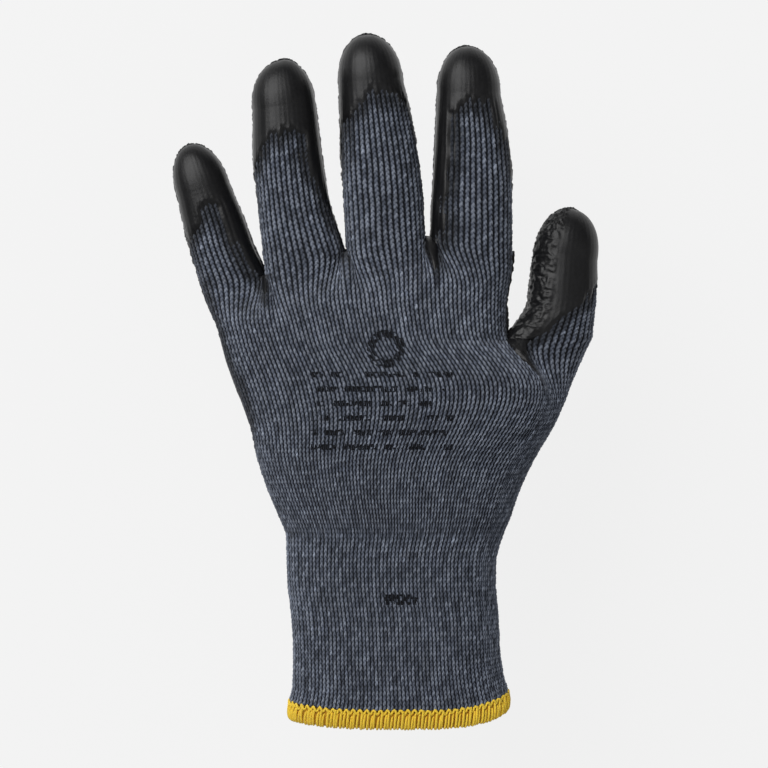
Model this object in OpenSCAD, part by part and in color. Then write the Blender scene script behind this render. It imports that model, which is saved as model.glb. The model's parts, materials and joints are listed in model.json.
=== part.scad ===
// Knitted work glove with a dipped palm: left hand, in its worn shape, lying palm down.
// +Y runs to the fingertips, +X to the thumb side, and +Z out of the back of the hand.

/* [Cuff] */
// Length of the rib cuff, from the wrist crease to the hem's edge
cuff_len = 70; // [50:1:95]
// Width of the glove at the wrist crease
wrist_w = 73.5; // [60:0.5:90]
// Width of the rib just above the hem
rib_w = 73; // [60:0.5:90]
// How far the cuff's centre line drifts to the thumb side along its length
cuff_drift = 2.4; // [0:0.2:6]
// Thickness of the cuff, palm side to back
cuff_t = 32; // [26:1:38]
// Height of the overlocked hem
hem_h = 7.5; // [5:0.5:12]
// How far the hem flares out at each side
hem_flare = 1.6; // [0:0.1:3]
// How far the overlock threads stand off the rib
hem_bulk = 0.8; // [0.5:0.1:1.5]
// Number of elastic yarns laid in the cuff
elastic_count = 8; // [3:1:12]
// Thickness of an elastic yarn
elastic_d = 0.8; // [0.5:0.1:1.2]

/* [Palm] */
// Length from the wrist crease to the thumb's crotch
heel_len = 64; // [52:1:78]
// Length from the thumb's crotch to the crotch of the middle and index fingers
knuckle_len = 36; // [28:1:44]
// Width of the hand beside the thumb's crotch
palm_w = 99.6; // [84:0.2:120]
// Distance from the wrist's centre line to the little finger's edge, at the thumb's crotch
heel_edge = 59.3; // [50:0.1:72]
// The same distance at the root of the little finger
knuckle_edge = 64.6; // [52:0.1:78]
// Thickness of the hand at the thumb's crotch
palm_t = 33; // [28:1:40]
// Extra thickness over the ball of the thumb
thenar_bulge = 3; // [0:0.5:5]
// Extra width at the heel, on the little finger's side
heel_bulge = 2.5; // [0:0.5:4]
// How much lower the crotch of the ring and middle fingers sits
ring_drop = 5.2; // [0:0.2:9]
// How much lower the crotch of the little and ring fingers sits
little_drop = 13.7; // [8:0.1:18]

/* [Little finger] */
// Length from the root crease to the tip
little_len = 51.5; // [42:0.5:62]
// Width across the root
little_root_w = 21.5; // [18:0.5:26]
// Width near the tip
little_tip_w = 18.4; // [15:0.1:22]
// Lean towards the outside of the hand
little_tilt = 18; // [10:1:22]

/* [Ring finger] */
// Length from the root crease to the tip
ring_len = 68; // [56:0.5:82]
// Width across the root
ring_root_w = 27.1; // [23:0.1:33]
// Width near the tip
ring_tip_w = 21; // [17:0.1:25]
// Lean towards the outside of the hand
ring_tilt = 6.5; // [5.5:0.5:9]

/* [Middle finger] */
// Length from the root crease to the tip
middle_len = 71; // [58:0.5:85]
// Width across the root
middle_root_w = 28.3; // [24:0.1:34]
// Width near the tip
middle_tip_w = 22.6; // [18:0.1:27]
// Lean towards the outside of the hand
middle_tilt = 5; // [3:0.5:5.5]

/* [Index finger] */
// Length from the root crease to the tip
index_len = 65.2; // [54:0.1:78]
// Width across the root
index_root_w = 27.5; // [23:0.1:33]
// Width near the tip
index_tip_w = 22; // [18:0.1:26]
// Lean towards the outside of the hand
index_tilt = 0.5; // [-3:0.5:2]

/* [Thumb] */
// Length from the root crease to the tip
thumb_len = 48; // [40:0.5:58]
// Width across the root
thumb_root_w = 27.7; // [23:0.1:33]
// Width near the tip
thumb_tip_w = 20; // [16:0.1:24]
// Lean away from the hand
thumb_tilt = 9; // [4:1:16]

/* [Walls] */
// Thickness of the knitted liner
knit_t = 1.3; // [0.8:0.1:2]
// Thickness of the rubber coating
coat_t = 0.8; // [0.4:0.1:1.2]
// Depth of a finger over its width, at the root
finger_depth = 0.78; // [0.68:0.01:0.86]
// Gap between pieces that bend against each other
joint_gap = 0.8; // [0.6:0.1:1.5]
// Gap between neighbouring fingers at their roots
finger_gap = 0.8; // [0.6:0.1:1.4]
// Fit between the coating and the liner under it
fit = 0.04; // [0.02:0.01:0.1]

/* [Bending] */
// How far each finger bends at its root
root_bend = 60; // [30:5:70]
// How far each finger bends at its middle joint
middle_bend = 65; // [30:5:75]
// How far each finger bends at its tip joint
tip_bend = 45; // [20:5:55]
// How far the thumb's tip bends sideways, towards the hand
thumb_bend = 30; // [10:5:30]
// How far a joint bends backwards
back_bend = 10; // [0:5:15]
// How far the wrist bends each way
wrist_bend = 35; // [20:5:40]
// Distance of a finger's bending axis inside the liner's palm face
axis_up = 6; // [4:0.5:8]

/* [Print] */
// Diameter of the round mark on the back
mark_d = 13; // [8:0.5:20]
// Width of the printed lines on the back
lines_w = 48; // [30:1:60]
// Number of printed lines
lines_n = 6; // [3:1:8]
// Spacing of the printed lines
lines_pitch = 5; // [3:0.5:6]

/* [Hidden] */
// Total thickness of the coating with its fit: what the liner stands clear of the ground
skin = coat_t + fit;
// Width of the four finger roots together
knuckle_w = little_root_w + ring_root_w + middle_root_w + index_root_w;
// Distance of the finger crotches from the wrist crease
crotch_y = heel_len + knuckle_len;
// Roundness of a finger's section and of the hand's section: 2 is an ellipse
finger_round = 2.3;
hand_round = 2.7;
// Share by which the underside is pressed flat where it lies on the ground
press = 1.05;
// Facets round a finger, and samples across each finger's share of the hand
finger_n = 22;
lobe_n = 7;
palm_n = 26;
// Depth over width at a fingertip, and the shares of a finger's length up to its two upper joints
tip_depth = 0.8;
middle_joint = 0.345;
tip_joint = 0.665;
thumb_joint = 0.46;
// Lowest height left in a crotch, as a share of the height beside it
crotch_open = 0.3;
// Half the sideways slit between two lobes of one section
slit = finger_gap / 2;
// The print stands this far off the back, and is this thick
print_lift = 0.3;
print_t = 0.2;
// Top of the printed lines and of the mark, measured down from the thumb's crotch
lines_drop = 11;
mark_drop = 3.5;
// Rows along the heel, and the row where the coating's lower edge lies
heel_rows = 7;
dip_row = 1;

// Each finger: centre of the root crease, lean, length, root width, tip width
function crotch_x(i) = -knuckle_edge + [0, little_root_w, little_root_w + ring_root_w,
    knuckle_w - index_root_w, knuckle_w][i];
function root_y(y, w, lean, side) = y - side * w / 2 * tan(lean);
thumb_x = palm_w - heel_edge;
LITTLE = [crotch_x(0) + little_root_w / 2,
    root_y(crotch_y - little_drop, little_root_w, little_tilt, 1),
    little_tilt, little_len, little_root_w * cos(little_tilt), little_tip_w];
RING = [crotch_x(1) + ring_root_w / 2,
    root_y(crotch_y - ring_drop, ring_root_w, ring_tilt, 1),
    ring_tilt, ring_len, ring_root_w, ring_tip_w];
MIDDLE = [crotch_x(2) + middle_root_w / 2,
    root_y(crotch_y, middle_root_w, middle_tilt, 1),
    middle_tilt, middle_len, middle_root_w, middle_tip_w];
INDEX = [crotch_x(3) + index_root_w / 2,
    root_y(crotch_y, index_root_w, index_tilt, -1),
    index_tilt, index_len, index_root_w, index_tip_w];
THUMB = [thumb_x + thumb_root_w / 2,
    root_y(heel_len, thumb_root_w, -thumb_tilt, -1),
    -thumb_tilt, thumb_len, thumb_root_w, thumb_tip_w];
FINGERS = [LITTLE, RING, MIDDLE, INDEX];

// Small helpers
function lerp(a, b, t) = a + (b - a) * t;
function smooth(t) = let (c = max(0, min(1, t))) c * c * (3 - 2 * c);
function spow(v, e) = sign(v) * pow(abs(v), e);
function flat(l) = [for (a = l) each a];

// The lower half of a section, pressed flat where it would pass its lowest level
function settle(mid, half, side, low) = side > 0 ? mid + half * side : max(low, mid + press * half * side);

// Where a bend's cut lies at place q on its palm-to-back line: clear of its twin through the whole bend
function cut(q, axis, bend, back) = joint_gap / 2
    + max(0, axis - q) * tan(bend / 2)
    + max(0, q - axis) * tan(back / 2);

// ---- Fingers: t runs along a finger, phi round it from its back towards the thumb side ----
function lean_of(f) = f[2];
function length_of(f) = f[3];
function root_t(f) = f[4] * finger_depth;
function tip_r(f) = f[5] / 2;
function width_at(f, t) = lerp(f[4], f[5], min(1, t / (length_of(f) - tip_r(f))));
function thick_at(f, t) = lerp(root_t(f), f[5] * tip_depth, min(1, t / (length_of(f) - tip_r(f))));
function axis_z(f) = skin + axis_up;
function half_w(f, t, off) = width_at(f, t) / 2 - slit - skin - off;

// A root crease bends palm down; the thumb's pad faces the hand, so its tip bends sideways
function bend_cut(f, t, bend, s, z) = f == THUMB && t > 0
    ? cut(s, axis_up - half_w(f, t, 0), bend, back_bend)
    : cut(z, axis_z(f), bend, back_bend);

// One point of a finger's wall, `off` inside the liner's outer face
function finger_point(f, t0, t1, v, bends, phi, off) =
    let (
        t = lerp(t0, t1, v),
        s = half_w(f, t, off) * spow(sin(phi), 2 / finger_round),
        low = skin + off,
        high = thick_at(f, t) - off,
        z = settle((low + high) / 2, (high - low) / 2, spow(cos(phi), 2 / finger_round), low),
        from = t0 + bend_cut(f, t0, bends[0], s, z),
        to = bends[1] == 0 ? t1 : t1 - bend_cut(f, t1, bends[1], s, z)
    )
    placed_on(f, lerp(from, to, v), s, z);

// A point of the rounded tip, beta degrees round from the sides to the very end
function tip_point(f, beta, phi, off) =
    let (
        start = length_of(f) - tip_r(f),
        low = skin + off,
        high = thick_at(f, start) - off,
        z = settle((low + high) / 2, (high - low) / 2 * cos(beta), spow(cos(phi), 2 / finger_round), low)
    )
    placed_on(f, start + (tip_r(f) - skin - off) * sin(beta),
        half_w(f, start, off) * cos(beta) * spow(sin(phi), 2 / finger_round), z);

function placed_on(f, t, s, z) = [
    f[0] - t * sin(lean_of(f)) + s * cos(lean_of(f)),
    f[1] + t * cos(lean_of(f)) + s * sin(lean_of(f)),
    z];

function round_angle(j, n) = -90 + 360 * j / n;
function round_angles(n) = [for (j = [0:n - 1]) round_angle(j, n)];
segment_steps = [0, 0.5, 1];
tip_steps = [0, 0.5, 1];
tip_angles = [22, 44, 64, 80];

function segment_rings(f, t0, t1, bends, angles, off) = [for (v = segment_steps)
    [for (phi = angles) finger_point(f, t0, t1, v, bends, phi, off)]];
function tip_rings(f, t0, bend, angles, off) = concat(
    [for (v = tip_steps) [for (phi = angles)
        finger_point(f, t0, length_of(f) - tip_r(f), v, [bend, 0], phi, off)]],
    [for (beta = tip_angles) [for (phi = angles) tip_point(f, beta, phi, off)]]);

// ---- Closed solids between an outer and an inner grid of points ----
function quad(a, b, c, d) = [[a, b, c], [a, c, d]];

// Tube wall: each grid row is a closed ring; a capped tube is closed at its far end
module tube_wall(outer, inner, capped = false) {
    m = len(outer);
    n = len(outer[0]);
    function at(side, i, j) = side * m * n + i * n + (j + n) % n;
    walls = flat([for (i = [0:m - 2], j = [0:n - 1]) concat(
        quad(at(0, i, j), at(0, i + 1, j), at(0, i + 1, j + 1), at(0, i, j + 1)),
        quad(at(1, i, j), at(1, i, j + 1), at(1, i + 1, j + 1), at(1, i + 1, j)))]);
    near_rim = flat([for (j = [0:n - 1])
        quad(at(0, 0, j), at(0, 0, j + 1), at(1, 0, j + 1), at(1, 0, j))]);
    far_rim = flat([for (j = [0:n - 1])
        quad(at(0, m - 1, j), at(1, m - 1, j), at(1, m - 1, j + 1), at(0, m - 1, j + 1))]);
    caps = flat([for (j = [1:n - 2]) [
        [at(0, m - 1, 0), at(0, m - 1, j + 1), at(0, m - 1, j)],
        [at(1, m - 1, 0), at(1, m - 1, j), at(1, m - 1, j + 1)]]]);
    polyhedron(points = flat(concat(outer, inner)),
        faces = concat(walls, near_rim, capped ? caps : far_rim));
}

// Sheet wall: the grid rows are open, so all four edges are closed
module sheet_wall(outer, inner) {
    m = len(outer);
    n = len(outer[0]);
    function at(side, i, j) = side * m * n + i * n + j;
    walls = flat([for (i = [0:m - 2], j = [0:n - 2]) concat(
        quad(at(0, i, j), at(0, i + 1, j), at(0, i + 1, j + 1), at(0, i, j + 1)),
        quad(at(1, i, j), at(1, i, j + 1), at(1, i + 1, j + 1), at(1, i + 1, j)))]);
    ends = flat([for (j = [0:n - 2]) concat(
        quad(at(0, 0, j), at(0, 0, j + 1), at(1, 0, j + 1), at(1, 0, j)),
        quad(at(0, m - 1, j), at(1, m - 1, j), at(1, m - 1, j + 1), at(0, m - 1, j + 1)))]);
    sides = flat([for (i = [0:m - 2]) concat(
        quad(at(0, i, 0), at(1, i, 0), at(1, i + 1, 0), at(0, i + 1, 0)),
        quad(at(0, i, n - 1), at(0, i + 1, n - 1), at(1, i + 1, n - 1), at(1, i, n - 1)))]);
    polyhedron(points = flat(concat(outer, inner)), faces = concat(walls, ends, sides));
}

// Ring of a constant profile: each grid row is one closed profile, and the rows close in a loop
module band(rows) {
    m = len(rows);
    n = len(rows[0]);
    function at(i, j) = (i % m) * n + j % n;
    polyhedron(points = flat(rows), faces = flat([for (i = [0:m - 1], j = [0:n - 1])
        quad(at(i, j), at(i, j + 1), at(i + 1, j + 1), at(i + 1, j))]));
}

// ---- Hand: u runs across from the little finger's edge, and each row is a full loop ----
function heel_left(t) = -lerp(wrist_w / 2, heel_edge, t) - heel_bulge * sin(180 * min(1, 2 * t));
function heel_right(t) = lerp(wrist_w / 2, thumb_x + thumb_root_w, t);
function heel_t(t) = lerp(cuff_t, palm_t, t) + thenar_bulge * sin(180 * t);
function heel_fold(t) = smooth((t - 0.5) / 0.5);
function hump(x) = pow(max(0, 1 - pow(abs(x), hand_round)), 1 / hand_round);

// Samples across one row: [lobe, place inside the lobe from -1 to 1]
knuckle_row = [for (i = [0:3], j = [0:lobe_n]) [i, -cos(180 * j / lobe_n)]];
heel_row = concat([for (j = [0:palm_n]) [0, -cos(180 * j / palm_n)]],
    [for (j = [0:lobe_n + 1]) [1, -cos(180 * j / (lobe_n + 1))]]);
function full_loop(row) = concat([for (q = row) [q, 1]],
    [for (j = [len(row) - 2:-1:1]) [row[j], -1]]);
function under_loop(row, over) = [for (j = [len(row) - 1 - over:len(row) + len(row) - 2 + over])
    j < len(row) ? [row[j], 1]
    : j < 2 * len(row) - 1 ? [row[2 * len(row) - 2 - j], -1]
    : [row[j - 2 * len(row) + 2], 1]];

// Height share at a sample: `s` folds the single hump of the row into its separate lobes
function share(across, inside, s, first, last) =
    let (
        lobe = hump(inside),
        floor_h = (first && inside < 0) || (last && inside > 0) ? 0 : crotch_open
    )
    lerp(hump(across), max(floor_h, lobe), s);

function heel_point(t, sample, side, off) =
    let (
        lobe = sample[0],
        left = heel_left(t) + skin + off,
        right = heel_right(t) - skin - off,
        mid = lerp(left, right, palm_w / (palm_w + thumb_root_w)),
        x = lobe == 0 ? lerp(left, mid - slit, (1 + sample[1]) / 2)
            : lerp(mid + slit, right, (1 + sample[1]) / 2),
        s = heel_fold(t),
        deep = lerp(heel_t(t), lobe == 0 ? palm_t : root_t(THUMB), s),
        half = (deep - skin) / 2 - off,
        high = share(2 * (x - left) / (right - left) - 1, sample[1], s, lobe == 0, lobe == 1),
        z = settle((deep + skin) / 2, half, side * high, skin + off),
        front = lobe == 0 ? heel_len
            : THUMB[1] - (x - THUMB[0]) * tan(thumb_tilt)
                - cut(z, axis_z(THUMB), root_bend, back_bend) / cos(thumb_tilt)
    )
    [x, lerp(cut(z, wrist_z, wrist_bend, wrist_bend), front, t), z];

function knuckle_point(v, sample, side, off) =
    let (
        f = FINGERS[sample[0]],
        i = sample[0],
        inset = skin + off,
        x_front = lerp(crotch_x(i) + (i == 0 ? inset : slit),
            crotch_x(i + 1) - (i == 3 ? inset : slit), (1 + sample[1]) / 2),
        x_back = -heel_edge + inset
            + (x_front - crotch_x(0) - inset) * (palm_w - 2 * inset) / (knuckle_w - 2 * inset),
        x = lerp(x_back, x_front, v),
        across = 2 * (x_back + heel_edge - inset) / (palm_w - 2 * inset) - 1,
        s = smooth(v),
        deep = lerp(palm_t, root_t(f), s),
        half = (deep - skin) / 2 - off,
        z = settle((deep + skin) / 2, half, side * share(across, sample[1], s, i == 0, i == 3), skin + off),
        front = f[1] + (x - f[0]) * tan(lean_of(f))
            - cut(z, axis_z(f), root_bend, back_bend) / cos(lean_of(f))
    )
    [x, lerp(heel_len, front, v), z];

heel_steps = [for (i = [0:heel_rows]) i / heel_rows];
knuckle_steps = [for (i = [0:4]) i / 4];
function heel_grid(steps, loop, off) = [for (t = steps)
    [for (q = loop) heel_point(t, q[0], q[1], off)]];
function knuckle_grid(loop, off) = [for (v = knuckle_steps)
    [for (q = loop) knuckle_point(v, q[0], q[1], off)]];

// ---- Cuff ----
wrist_z = cuff_t / 2;
cuff_n = 36;
cuff_low = hem_bulk;
rib_end = -cuff_len + hem_bulk;
function cuff_flare(y) = hem_flare * smooth((-y - cuff_len + 2 * hem_h) / (2 * hem_h));
function cuff_point(y, phi, out) =
    let (
        t = -y / cuff_len,
        half = lerp(wrist_w, rib_w, t) / 2 + cuff_flare(y) + out,
        low = lerp(skin, cuff_low, smooth(t * 3)),
        z = settle((cuff_t + low) / 2, (cuff_t - low) / 2 + out, spow(cos(phi), 2 / hand_round), low - out)
    )
    [cuff_drift * t + half * spow(sin(phi), 2 / hand_round), y, z];
function cuff_ring(y, out) = [for (phi = round_angles(cuff_n)) cuff_point(y, phi, out)];
// The rib's top ring follows the cut of the wrist's bend
function cuff_top(out) = [for (p = cuff_ring(0, out))
    [p[0], -cut(p[2], wrist_z, wrist_bend, wrist_bend), p[2]]];
// Rows of the rib's wall, from the hem up to the cut
function cuff_wall(out) = concat([for (v = [0:6]) cuff_ring(lerp(rib_end, -14, v / 6), out)], [cuff_top(out)]);

// ---- Place: the glove's box is centred on the origin ----
extent = flat(concat(
    tip_rings(LITTLE, LITTLE[3] * tip_joint, tip_bend, round_angles(finger_n), -skin),
    tip_rings(MIDDLE, MIDDLE[3] * tip_joint, tip_bend, round_angles(finger_n), -skin),
    tip_rings(THUMB, THUMB[3] * thumb_joint, thumb_bend, round_angles(finger_n), -skin)));
x_mid = (min([for (p = extent) p[0]]) + max([for (p = extent) p[0]])) / 2;
y_mid = (max([for (p = extent) p[1]]) - cuff_len) / 2;
module in_place() {
    translate([-x_mid, -y_mid, 0]) children();
}

KNIT = "#46505e";
RUBBER = "#1c1d1f";
YELLOW = "#e0b52a";
INK = "#23262b";

// ---- Sub-parts ----
module rib_cuff() {
    color(KNIT) in_place()
        tube_wall(cuff_wall(0), cuff_wall(-knit_t));
}

// Overlock threads round the raw edge of the rib: a channel over both of its faces
module hem_overlock() {
    y0 = -cuff_len;
    y1 = -cuff_len + hem_h;
    color(YELLOW) in_place()
        band([for (phi = round_angles(cuff_n)) [
            cuff_point(y0, phi, hem_bulk),
            cuff_point(y1, phi, hem_bulk),
            cuff_point(y1, phi, fit),
            cuff_point(rib_end - fit, phi, fit),
            cuff_point(rib_end - fit, phi, -knit_t - fit),
            cuff_point(y1, phi, -knit_t - fit),
            cuff_point(y1, phi, -knit_t - hem_bulk / 2),
            cuff_point(y0, phi, -knit_t - hem_bulk / 2)]]);
}

// Elastic yarns that draw the cuff in, laid against the inside of the rib
module cuff_elastic() {
    first = -cuff_len + hem_h + 5;
    last = -18;
    color("dimgray") in_place()
        for (i = [0:elastic_count - 1]) let (y = lerp(first, last, i / (elastic_count - 1)))
            band([for (phi = round_angles(cuff_n)) [
                cuff_point(y, phi, -knit_t - fit),
                cuff_point(y + elastic_d / 2, phi, -knit_t - fit - elastic_d / 2),
                cuff_point(y, phi, -knit_t - fit - elastic_d),
                cuff_point(y - elastic_d / 2, phi, -knit_t - fit - elastic_d / 2)]]);
}

module heel_liner() {
    color(KNIT) in_place()
        tube_wall(heel_grid(heel_steps, full_loop(heel_row), 0),
            heel_grid(heel_steps, full_loop(heel_row), knit_t));
}

module knuckle_liner() {
    color(KNIT) in_place()
        tube_wall(knuckle_grid(full_loop(knuckle_row), 0), knuckle_grid(full_loop(knuckle_row), knit_t));
}

module heel_coating() {
    steps = [for (i = [dip_row:heel_rows]) heel_steps[i]];
    color(RUBBER) in_place()
        sheet_wall(heel_grid(steps, under_loop(heel_row, 2), -skin),
            heel_grid(steps, under_loop(heel_row, 2), -fit));
}

module knuckle_coating() {
    color(RUBBER) in_place()
        sheet_wall(knuckle_grid(under_loop(knuckle_row, 2), -skin),
            knuckle_grid(under_loop(knuckle_row, 2), -fit));
}

module segment_liner(f, t0, t1, bends) {
    a = round_angles(finger_n);
    color(KNIT) in_place()
        tube_wall(segment_rings(f, t0, t1, bends, a, 0), segment_rings(f, t0, t1, bends, a, knit_t));
}

module segment_coating(f, t0, t1, bends, angles) {
    color(RUBBER) in_place()
        sheet_wall(segment_rings(f, t0, t1, bends, angles, -skin),
            segment_rings(f, t0, t1, bends, angles, -fit));
}

module tip_liner(f, t0, bend = tip_bend) {
    a = round_angles(finger_n);
    color(KNIT) in_place()
        tube_wall(tip_rings(f, t0, bend, a, 0), tip_rings(f, t0, bend, a, knit_t), true);
}

module tip_coating(f, t0, bend = tip_bend) {
    a = round_angles(finger_n);
    color(RUBBER) in_place()
        tube_wall(tip_rings(f, t0, bend, a, -skin), tip_rings(f, t0, bend, a, -fit), true);
}

// The coating lies under a finger, and round the palm side of the thumb, on the liner's own facets
under_finger = [for (j = [finger_n / 2 - 1:finger_n + 1]) round_angle(j, finger_n)];
round_thumb = [for (j = [finger_n / 2 + 2:finger_n + 7]) round_angle(j, finger_n)];

// Parts of one finger: 0 is the root segment, 1 the middle segment, 2 the tip
module finger_liner(f, part) {
    t1 = length_of(f) * middle_joint;
    t2 = length_of(f) * tip_joint;
    if (part == 0) segment_liner(f, 0, t1, [root_bend, middle_bend]);
    if (part == 1) segment_liner(f, t1, t2, [middle_bend, tip_bend]);
    if (part == 2) tip_liner(f, t2);
}

module finger_coating(f, part) {
    t1 = length_of(f) * middle_joint;
    t2 = length_of(f) * tip_joint;
    if (part == 0) segment_coating(f, 0, t1, [root_bend, middle_bend], under_finger);
    if (part == 1) segment_coating(f, t1, t2, [middle_bend, tip_bend], under_finger);
    if (part == 2) tip_coating(f, t2);
}

module thumb_liner(part) {
    t1 = length_of(THUMB) * thumb_joint;
    if (part == 0) segment_liner(THUMB, 0, t1, [root_bend, thumb_bend]);
    if (part == 1) tip_liner(THUMB, t1, thumb_bend);
}

module thumb_coating(part) {
    t1 = length_of(THUMB) * thumb_joint;
    if (part == 0) segment_coating(THUMB, 0, t1, [root_bend, thumb_bend], round_thumb);
    if (part == 1) tip_coating(THUMB, t1, thumb_bend);
}

// Height of the liner's back at a place on the heel, whose rows start at the wrist's slanted cut
back_cut = cut(palm_t, wrist_z, wrist_bend, wrist_bend);
function back_z(x, y) =
    let (
        t = (y - back_cut) / (heel_len - back_cut),
        left = heel_left(t) + skin,
        right = heel_right(t) - skin,
        mid = lerp(left, right, palm_w / (palm_w + thumb_root_w)),
        s = heel_fold(t),
        inside = 2 * (x - left) / (mid - left) - 1,
        deep = lerp(heel_t(t), palm_t, s)
    )
    (deep + skin) / 2 + (deep - skin) / 2 * share(2 * (x - left) / (right - left) - 1, inside, s, true, false);
function printed(x, y, lift) = [x, y, back_z(x, y) + lift];

// A thin patch on the back, from its rows of [x, y]
module patch(rows) {
    sheet_wall([for (r = rows) [for (p = r) printed(p[0], p[1], print_lift + print_t)]],
        [for (r = rows) [for (p = r) printed(p[0], p[1], print_lift)]]);
}

// Plain ring mark
module print_mark() {
    c = [heel_edge - palm_w / 2 - 12.3, heel_len - mark_drop];
    arcs = 24;
    color(INK) in_place()
        band([for (j = [0:arcs - 1]) let (a = -360 * j / arcs) [
            for (q = [[0.5, 0], [0.5, print_t], [0.3, print_t], [0.3, 0]])
                printed(c[0] + mark_d * q[0] * cos(a), c[1] + mark_d * q[0] * sin(a), print_lift + q[1])]]);
}

// Plain printed lines
module print_lines() {
    x0 = -lines_w / 2 - 4;
    color(INK) in_place()
        for (i = [0:lines_n - 1]) let (y = heel_len - lines_drop - i * lines_pitch)
            patch([for (dy = [0, 1.6]) [for (k = [0:12]) [x0 + lines_w * k / 12, y - 1.6 + dy]]]);
}

// Plain size tab printed on the cuff
module print_wrist() {
    y = -26;
    color(INK) in_place()
        sheet_wall(
            [for (dy = [0, 2, 4]) [for (phi = [-3:1.5:6]) cuff_point(y + dy, phi, print_lift + print_t)]],
            [for (dy = [0, 2, 4]) [for (phi = [-3:1.5:6]) cuff_point(y + dy, phi, print_lift)]]);
}

heel_liner();
knuckle_liner();
heel_coating();
knuckle_coating();
print_mark();
print_lines();
rib_cuff();
cuff_elastic();
hem_overlock();
print_wrist();
finger_liner(LITTLE, 0);  // little_root_liner
finger_liner(LITTLE, 1);  // little_middle_liner
finger_liner(LITTLE, 2);  // little_tip_liner
finger_coating(LITTLE, 0);  // little_root_coating
finger_coating(LITTLE, 1);  // little_middle_coating
finger_coating(LITTLE, 2);  // little_tip_coating
finger_liner(RING, 0);  // ring_root_liner
finger_liner(RING, 1);  // ring_middle_liner
finger_liner(RING, 2);  // ring_tip_liner
finger_coating(RING, 0);  // ring_root_coating
finger_coating(RING, 1);  // ring_middle_coating
finger_coating(RING, 2);  // ring_tip_coating
finger_liner(MIDDLE, 0);  // middle_root_liner
finger_liner(MIDDLE, 1);  // middle_middle_liner
finger_liner(MIDDLE, 2);  // middle_tip_liner
finger_coating(MIDDLE, 0);  // middle_root_coating
finger_coating(MIDDLE, 1);  // middle_middle_coating
finger_coating(MIDDLE, 2);  // middle_tip_coating
finger_liner(INDEX, 0);  // index_root_liner
finger_liner(INDEX, 1);  // index_middle_liner
finger_liner(INDEX, 2);  // index_tip_liner
finger_coating(INDEX, 0);  // index_root_coating
finger_coating(INDEX, 1);  // index_middle_coating
finger_coating(INDEX, 2);  // index_tip_coating
thumb_liner(0);  // thumb_root_liner
thumb_liner(1);  // thumb_tip_liner
thumb_coating(0);  // thumb_root_coating
thumb_coating(1);  // thumb_tip_coating
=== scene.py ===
import json
import math
import bpy
import numpy as np
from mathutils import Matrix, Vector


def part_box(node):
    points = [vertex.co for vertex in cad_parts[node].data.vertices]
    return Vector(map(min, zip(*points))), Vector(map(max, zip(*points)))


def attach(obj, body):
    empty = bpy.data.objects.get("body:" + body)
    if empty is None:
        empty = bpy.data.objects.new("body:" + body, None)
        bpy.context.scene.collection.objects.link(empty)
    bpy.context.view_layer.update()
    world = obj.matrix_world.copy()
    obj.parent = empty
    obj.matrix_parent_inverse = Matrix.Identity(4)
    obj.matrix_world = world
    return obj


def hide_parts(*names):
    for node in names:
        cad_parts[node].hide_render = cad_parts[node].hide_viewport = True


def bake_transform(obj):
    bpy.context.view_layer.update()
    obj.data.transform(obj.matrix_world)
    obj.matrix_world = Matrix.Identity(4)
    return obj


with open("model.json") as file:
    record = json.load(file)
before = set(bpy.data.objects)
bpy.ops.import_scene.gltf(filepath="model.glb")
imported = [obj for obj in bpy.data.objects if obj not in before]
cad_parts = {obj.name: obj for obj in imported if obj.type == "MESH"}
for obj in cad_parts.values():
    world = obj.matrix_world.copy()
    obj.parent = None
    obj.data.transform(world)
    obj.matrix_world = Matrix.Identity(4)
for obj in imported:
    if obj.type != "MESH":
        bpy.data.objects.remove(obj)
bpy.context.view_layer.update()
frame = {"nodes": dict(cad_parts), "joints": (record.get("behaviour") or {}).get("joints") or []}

MM = 0.001
JOINTS = {joint["name"]: joint for joint in frame["joints"]}

# Lengths are in millimetres, unless a comment says metres.
# How the glove is knitted. Wales are the columns of stitches and courses are the rows.
BACK_WALES = {"little": 16, "ring": 19, "middle": 19, "index": 19, "thumb": 18}
WEB_WALES = 1
FINGER_COURSE = 1.6
CAP_LENGTH = 15.5
CAP_POWER = 2.2
HAND_COURSES = 57
THUMB_COURSE = 19
CUFF_COURSES = 37
CUFF_WALES = 68
HAND_WALE = 1.45

# Grid steps for each stitch. Under the palm every third line of the knit's grid is kept.
STITCH_STEPS = 6
CUFF_STEPS = 5
FILM_STEPS = 4
HIDDEN_STEPS = 2
PALM_THINNING = 3

# Shape of the sections. PRESS is how much flatter the lower half is.
PRESS = 1.05
FINGER_POWER = 2.3
HAND_POWER = 2.7
FINGER_ASPECT = 0.78
HAND_ASPECT = 0.27
FILM = 1.3
INSET = 0.55
TIP_INSET = 0.9

# Height of the yarn above the gaps, and how far the two legs of a stitch lean apart.
RELIEF = 0.75
CUFF_RELIEF = 0.65
FINGER_SPREAD, HAND_SPREAD, CUFF_SPREAD = 0.17, 0.18, 0.2

# The way over a finger's back, for each millimetre of its width.
OVER_BACK = 1.42

# The share of the thumb's width that is moved to meet the palm.
MEETING_SHARE = 0.45

# The lowest height of each layer.
WRAPS_LEAST, KNIT_LEAST, BED_LEAST, LOOPER_LEAST = 0.04, 0.05, 0.06, 0.45

WRIST = np.array(JOINTS["wrist_bend"]["pos_m"]) / MM
WRIST_Y = WRIST[1]
HEM_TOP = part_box("hem_overlock")[1].y / MM
CUFF_END = HEM_TOP + 0.9
COAT_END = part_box("heel_coating")[0].y / MM

# Heights above the wrist's hinge where the knit's bend starts and ends, and where the bands meet.
WRIST_BEND = (8.5, -12.0)
WRIST_BAND = (10.0, -13.0)

HEM_HEIGHT = 6.9
HEM_PITCH = 2.3
HEM_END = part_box("hem_overlock")[0].y / MM + 1.7
HEM_CURL_COURSE = HAND_COURSES + 20
ELASTIC_RINGS = 8

PRINT_ROWS = 6
PRINT_HEIGHT = 2.2

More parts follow.
